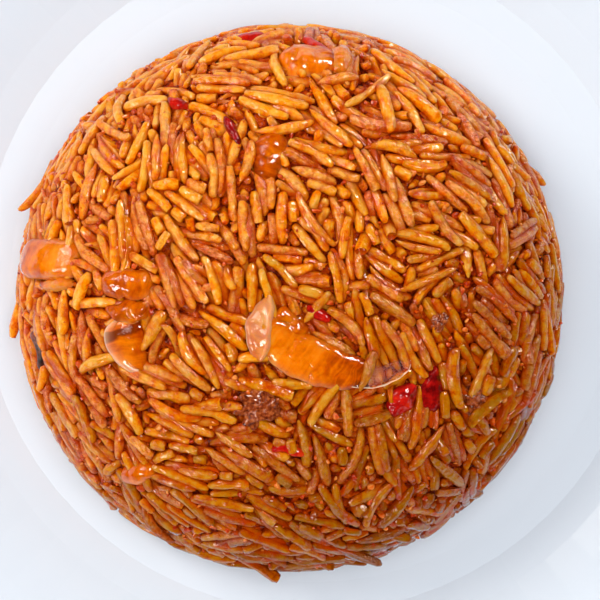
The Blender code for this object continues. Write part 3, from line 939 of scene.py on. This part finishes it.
def make_core(grains, material):
    """The heap's inside: sauce and pulp a few millimetres under the grains, climbing a little up their
    sides."""
    deselect()
    bpy.ops.mesh.primitive_ico_sphere_add(subdivisions=CORE_FINENESS, radius=1)
    core = bpy.context.object
    core.name = core.data.name = "rice_core"
    bpy.ops.object.mode_set(mode="EDIT")
    bpy.ops.mesh.select_all(action="SELECT")
    bpy.ops.mesh.bisect(plane_co=(0, 0, 0), plane_no=(0, 0, 1), clear_inner=True, use_fill=True)
    bpy.ops.object.mode_set(mode="OBJECT")
    ball = np.empty(len(core.data.vertices) * 3)
    core.data.vertices.foreach_get("co", ball)
    ball = ball.reshape(-1, 3)
    up = np.clip(ball[:, 2], 0, 1)
    flat = np.sqrt(1 - up * up)
    facing = ball[:, :2] / np.maximum(np.linalg.norm(ball[:, :2], axis=1), 1e-6)[:, None]
    rise = MOUND_HEIGHT * up ** (2 / RISE_POWER)
    plan = facing * (MOUND_RADIUS * flat ** (2 / PLAN_POWER))[:, None] + MOUND_LEAN * rise[:, None]
    points = np.column_stack([plan, rise])
    _, normals = mould_distance(points)
    depth = SIDE_DEPTH + (TOP_DEPTH - SIDE_DEPTH) * normals[:, 2] ** 2
    sunk = points - normals * depth[:, None]
    sunk[:, 2] = np.maximum(sunk[:, 2], 0)
    climb = 1.2 * np.exp(-np.maximum(clearance(sunk + 0.5 * normals, grains), 0) / 0.4)
    climb += (0.8 * lumpiness(sunk, 4.0, 5.0) + 0.25 * lumpiness(sunk, 1.2, 6.0)) * (sunk[:, 2] > 0.1)
    sunk += normals * climb[:, None]
    sunk[:, 2] = np.where(ball[:, 2] < 1e-6, 0, np.maximum(sunk[:, 2], 0))
    core.data.vertices.foreach_set("co", in_scene(sunk).ravel())
    core.data.shade_smooth()
    settle(core, material, "rice", "rice_mound")


# ---------------------------------------------------------------- the scene


def laid_rows():
    return [(name, *row) for name, rows in LAID_GRAINS.items() for row in rows]


def lay_grains():
    """Grains laid over the slices: places, directions and lengths."""
    rows = []
    for (slice_name, along, across, heading, length) in laid_rows():
        place, way, _, out = mould_frame(beside(SLICES[slice_name], along, across), heading)
        lift = 0.6 if covered(np.array([place]))[0] else -0.6
        rows.append((place + out * lift, way, length))
    return (np.array(part) for part in zip(*rows))


def make_rice(material):
    places, ways, lengths, radii = scatter_grains(GRAIN_COUNT)
    laid = len(laid_rows())
    places[:laid], ways[:laid], lengths[:laid] = lay_grains()
    places, ways = relax(places, ways, lengths, radii, RELAX_STEPS, laid)
    strays = lift_strays(places, ways, laid)
    count = len(places)
    bends = np.clip(rng.normal(0, 0.75, count), -1.6, 1.6) * (lengths / GRAIN_LENGTH) ** 2
    rolls = rng.uniform(0, 2 * math.pi, count)
    # Painted light and shade: the tint rises towards one side of the heap and the brown mixed in towards the
    # other.
    dry = places[:, :2] @ PAINTED_LIT_SIDE / MOUND_RADIUS
    tint = rng.normal(0.5, 0.14, count) + 0.27 * dry
    side_shade_and_brown_tone = np.clip(0.18 - 0.62 * dry + rng.normal(0, 0.08, count), 0, 0.75)
    patches = lumpiness(places, 7.0, 1.0)
    sauce = np.clip(0.38 + 0.36 * patches + rng.normal(0, 0.09, count), 0, 1)
    proud = 0.1 + 0.35 * lumpiness(places, 8.0, 2.0)
    proud[:laid] = 3.0
    proud[strays] = 6.0
    names = list(GRAIN_SHAPES)
    kinds = rng.choice(len(names) - 1, count, p=KIND_SHARES)
    kinds[lengths < BROKEN_BELOW] = len(names) - 1
    for number, name in enumerate(names):
        shape = model_grain(name, **GRAIN_SHAPES[name])
        chosen = kinds == number
        sizes = np.column_stack([lengths[chosen] / 2, radii[chosen], radii[chosen]])
        piece = copy_shape(
            f"rice_{name}",
            shape,
            places[chosen],
            ways[chosen],
            sizes,
            bends[chosen],
            rolls[chosen],
            {"tint": tint[chosen], "sauce": sauce[chosen], "side_shade_and_brown_tone": side_shade_and_brown_tone[chosen]},
            GRAIN_ROUGHNESS,
            proud[chosen],
            (places, ways, lengths, radii),
            np.flatnonzero(chosen),
        )
        settle(piece, material, "rice")
        bpy.data.objects.remove(shape)
    return places, ways, lengths, radii


def model_crumb(name, fineness):
    """A small lump of cooked tomato pulp: a ball squeezed unevenly."""
    deselect()
    bpy.ops.mesh.primitive_ico_sphere_add(subdivisions=fineness, radius=1)
    crumb = bpy.context.object
    crumb.name = name
    bpy.ops.object.mode_set(mode="EDIT")
    for push in CRUMB_DENTS:
        select_where(crumb, lambda co: co.normalized().dot(Vector(push).normalized()) > 0.72)
        bpy.ops.transform.translate(value=tuple(-0.28 * part for part in push))
    bpy.ops.object.mode_set(mode="OBJECT")
    return crumb


def make_pulp(grains, material):
    """Lumps of pulp in the gaps between the grains, where stirring leaves them."""
    points = strew(PULP_TRIES, 0.6, *PULP_DEPTHS)
    points = points[~covered(points, -0.4)]
    room = clearance(points, grains)
    order = np.argsort(-room)
    taken = []
    for index in order:
        if room[index] < 0.12 or len(taken) == PULP_COUNT:
            break
        if all(np.sum((points[index] - points[other]) ** 2) > 1.3 for other in taken[-400:]):
            taken.append(index)
    sizes = (np.minimum(room[taken], 0.7) + 0.35)[:, None] * rng.uniform(0.5, 1.6, (len(taken), 3))
    spread_crumbs("tomato_pulp_crumbs", points[taken], sizes, material, 2)

    points = strew(PULP_TRIES * 6, 0.6, *GRIT_DEPTHS)
    points = points[~covered(points, -0.4)]
    room = clearance(points, grains)
    patches = lumpiness(points, 7.0, 1.0)
    stuck = (room > -0.2) & (room < 0.15) & (patches + rng.normal(0, 0.2, len(points)) > 0.1)
    points = points[stuck][:GRIT_COUNT]
    sizes = rng.uniform(0.2, 0.45, (len(points), 1)) * rng.uniform(0.3, 2.2, (len(points), 3))
    spread_crumbs("tomato_pulp_grit", points, sizes, material, 1)


def spread_crumbs(name, points, sizes, material, fineness):
    """Puts a crumb of pulp at each point, turned any way."""
    count = len(points)
    ways = unit(rng.normal(size=(count, 3)))
    shape = model_crumb("pulp_crumb", fineness)
    rolls = rng.uniform(0, 2 * math.pi, count)
    values = {"tint": rng.random(count)}
    bends, proud = np.zeros(count), np.full(count, 0.5)
    piece = copy_shape(name, shape, points, ways, sizes, bends, rolls, values, CRUMB_ROUGHNESS, proud)
    bpy.data.objects.remove(shape)
    settle(piece, material, "rice")


def mould_height(plan):
    """The bowl's surface over places in plan, in mm."""
    rise = np.full(len(plan), MOUND_HEIGHT * 0.8)
    for _ in range(6):
        across = np.linalg.norm(plan - MOUND_LEAN * rise[:, None], axis=1)
        rise = MOUND_HEIGHT * np.maximum(1 - (across / MOUND_RADIUS) ** PLAN_POWER, 0) ** (1 / RISE_POWER)
    return rise


def lay_sheet(name, grid, place_points, wall):
    """A sheet modelled from a grid. place_points turns the grid's (u, v), from 0 to 1, into places on the
    heap in mm and gives the values that its material reads. wall is its thickness in mm."""
    deselect()
    bpy.ops.mesh.primitive_grid_add(x_subdivisions=grid[0], y_subdivisions=grid[1], size=2)
    sheet = bpy.context.object
    sheet.name = sheet.data.name = name
    flat = np.array([(vert.co.x / 2 + 0.5, vert.co.y / 2 + 0.5) for vert in sheet.data.vertices])
    points, values = place_points(flat[:, 0], flat[:, 1])
    sheet.data.vertices.foreach_set("co", in_scene(points).ravel())
    store(sheet.data, values)
    solid = sheet.modifiers.new("wall", "SOLIDIFY")
    solid.thickness = wall * MM
    solid.offset = -1
    rounded = sheet.modifiers.new("rounded", "SUBSURF")
    rounded.levels = rounded.render_levels = 1
    for modifier in ("wall", "rounded"):
        bpy.ops.object.modifier_apply(modifier=modifier)
    sheet.data.shade_smooth()
    return sheet


def sheet_values(row, u, v, length, width):
    """What a sheet's material reads, in mm from its edges: rim is a highlight painted along its right edge,
    or round all its edges, and the value after it a darker red line along its left edge."""
    width = np.maximum(width, 0.7 * row["size"][1])
    near, far, ends = v * width, (1 - v) * width, np.minimum(u, 1 - u) * length
    # Painted highlight: a pale band along the right edge, or round every edge.
    rim_width = row.get("rim_width", 0.22)
    rim = np.exp(-far / rim_width)
    if row.get("both_rims"):
        rim = rim + np.exp(-np.minimum(near, ends) / rim_width)
    rim = np.minimum(rim, 1) * row.get("wetness", 0.25)
    values = {"along": u * length, "across": v * width, "rim": rim, "stain": np.exp(-near / 0.9)}
    values["tint"] = np.interp(u, *zip(*row.get("tints", [(0, 0.5), (1, 0.5)])))
    values["pale"] = np.interp(u, *zip(*row.get("pale", [(0, 0), (1, 0)])))
    return values


def between_edges(row, seed):
    """Places of a slice between its two edges, over the bowl's surface by its rise and swell."""

    def place_points(u, v):
        start, end = outline(row, u)
        plan = start + (end - start) * v[:, None]
        width = np.linalg.norm(end - start, axis=1)
        rise, swell = row.get("rise", THIN_RISE), row.get("swell", EVEN_SWELL)
        height = np.interp(v, *zip(*rise)) + np.interp(u, *zip(*swell)) - SLICE_DEPTH
        wander = row.get("rumple", 0.3)
        points = np.column_stack([plan, mould_height(plan)])
        height += wander * lumpiness(points, 2.6, seed) + 0.4 * wander * lumpiness(points, 1.1, seed)
        shift = np.column_stack([lumpiness(points, 2.0, seed + 3), lumpiness(points, 2.0, seed + 6)])
        points[:, :2] += row.get("ragged", 0.5) * shift
        return onto_mould(points, height), sheet_values(row, u, v, row["size"][0], width)

    return place_points


def on_wall(row, seed):
    """Places of a strip pressed flat against the bowl's wall."""
    length, width = row["size"]
    towards, tilt = math.radians(row["towards"]), math.radians(row["tilt"])

    def place_points(u, v):
        x, y = (u - 0.5) * length, (v - 0.5) * width
        x, y = x * np.sqrt(1 - (2 * v - 1) ** 2 / 2), y * np.sqrt(1 - (2 * u - 1) ** 2 / 2)
        along = x * math.cos(tilt) - y * math.sin(tilt)
        up = x * math.sin(tilt) + y * math.cos(tilt)
        turn = towards + along / MOUND_RADIUS
        share = np.maximum(1 - (row["height"] / MOUND_HEIGHT) ** RISE_POWER, 0.1) ** (1 / PLAN_POWER)
        reach = MOUND_RADIUS * share
        points = np.column_stack([reach * np.cos(turn), reach * np.sin(turn), row["height"] + up])
        edge = np.minimum(np.minimum(v, 1 - v) * width, np.minimum(u, 1 - u) * length)
        height = -0.25 + 0.3 * lumpiness(points, 2.6, seed) - 0.9 * np.exp(-edge / 0.4)
        return onto_mould(points, height), sheet_values(row, u, v, length, width)

    return place_points


def make_slices(materials, film):
    """Onion, pepper, tomato skins and charred shreds, and the film that the big slice trails. A name's
    first word says what the piece is made of. The frame holds a node for each slice and strip, but none for
    a skin."""
    slices, skins = (SLICES, between_edges, 0, True), (SKINS, between_edges, 50, False)
    for rows, shaped_by, first_seed, in_frame in (slices, skins, (WALL_STRIPS, on_wall, 90, True)):
        for number, (name, row) in enumerate(rows.items()):
            place_points = shaped_by(row, first_seed + SEED_STEP * number)
            full_name = name + "_cooked" if in_frame else name
            piece = lay_sheet(full_name, row.get("grid", (22, 14)), place_points, row.get("wall", 1.2))
            kind = name.split("_")[0]
            material = film if name == "onion_film_middle" else materials[kind]
            settle(piece, material, "onion" if kind == "charred" else kind, *([name] if in_frame else []))


def make_meat(material):
    """Crumbs of minced meat: balls broken up by lumps of several sizes."""
    for number, (name, (at, heading, half_sizes)) in enumerate(MEAT.items()):
        deselect()
        bpy.ops.mesh.primitive_ico_sphere_add(subdivisions=5, radius=1)
        crumb = bpy.context.object
        crumb.name = crumb.data.name = name
        place, way, across, out = mould_frame(at, heading)
        for vert in crumb.data.vertices:
            ball = vert.co.copy()
            spot = ball + Vector((number * 5.0, 0, 0))
            lump = 1 + sum(share * noise.noise(spot * size) for share, size in MEAT_LUMPS)
            x, y, z = (half * part * lump for half, part in zip(half_sizes, ball))
            vert.co = MOUND_FOOT + Vector(place + x * way + y * across + (z - 0.6 * half_sizes[2]) * out) * MM
        crumb.data.shade_smooth()
        settle(crumb, material, "meat", *(["meat_crumb"] if number == 0 else []))


def make_camera():
    """Looks straight down over a place a little off the plate's middle."""
    camera = bpy.data.cameras.new("camera")
    holder = bpy.data.objects.new("camera", camera)
    bpy.context.scene.collection.objects.link(holder)
    x, y = CAMERA_PLACE
    holder.location = Vector((x * MM, y * MM, RICE_LOW.z + CAMERA_HEIGHT * MM))
    camera.sensor_fit = "HORIZONTAL"
    camera.angle = 2 * math.atan(VIEW_WIDTH / 2 / CAMERA_HEIGHT)
    camera.clip_start = 10 * MM
    bpy.context.scene.camera = holder


def add_light(name, place, size, power, colour, mirrored):
    """An area light that points at the mound. It is either mirrored in oil and glaze or lights what is
    matt."""
    light = bpy.data.lights.new(name, "AREA")
    light.shape = "RECTANGLE"
    light.size, light.size_y = size
    light.energy = power
    light.color = colour
    holder = bpy.data.objects.new(name, light)
    bpy.context.scene.collection.objects.link(holder)
    holder.location = place
    holder.rotation_euler = (Vector((0, 0, 0.03)) - Vector(place)).to_track_quat("-Z", "Y").to_euler()
    holder.visible_glossy = mirrored
    holder.visible_diffuse = not mirrored


def make_stage():
    deselect()
    bpy.ops.mesh.primitive_plane_add(size=4)
    floor = bpy.context.object
    floor.name = "floor"
    material, add, _, _ = new_material("pale_floor")
    shader = add("BsdfPrincipled", {"Base Color": linear("e6e8ea"), "Roughness": 0.6})
    add("OutputMaterial", {"Surface": shader})
    floor.data.materials.append(material)
    for name, light in LIGHTS.items():
        add_light(name, *light)
    world = bpy.data.worlds.new("soft_studio")
    bpy.context.scene.world = world
    world.use_nodes = True
    sky = world.node_tree.nodes["Background"].inputs
    sky["Color"].default_value = linear("e4f0fc")
    sky["Strength"].default_value = 0.6
    world.cycles_visibility.glossy = False


def main():
    rice = oily_parboiled_rice()
    grains = make_rice(rice)
    make_core(grains, sauce_and_pulp_bed())
    make_pulp(grains, cooked_tomato_pulp())
    kinds = {"onion": soft_cooked_onion(), "pepper": red_pepper_skin(), "charred": charred_onion()}
    make_slices(kinds, onion_film())
    make_meat(fried_minced_meat())
    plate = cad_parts["plate"]
    plate.data.materials.clear()
    plate.data.materials.append(glazed_porcelain())
    make_stage()
    make_camera()
    bpy.context.scene.view_settings.view_transform = "Standard"


main()
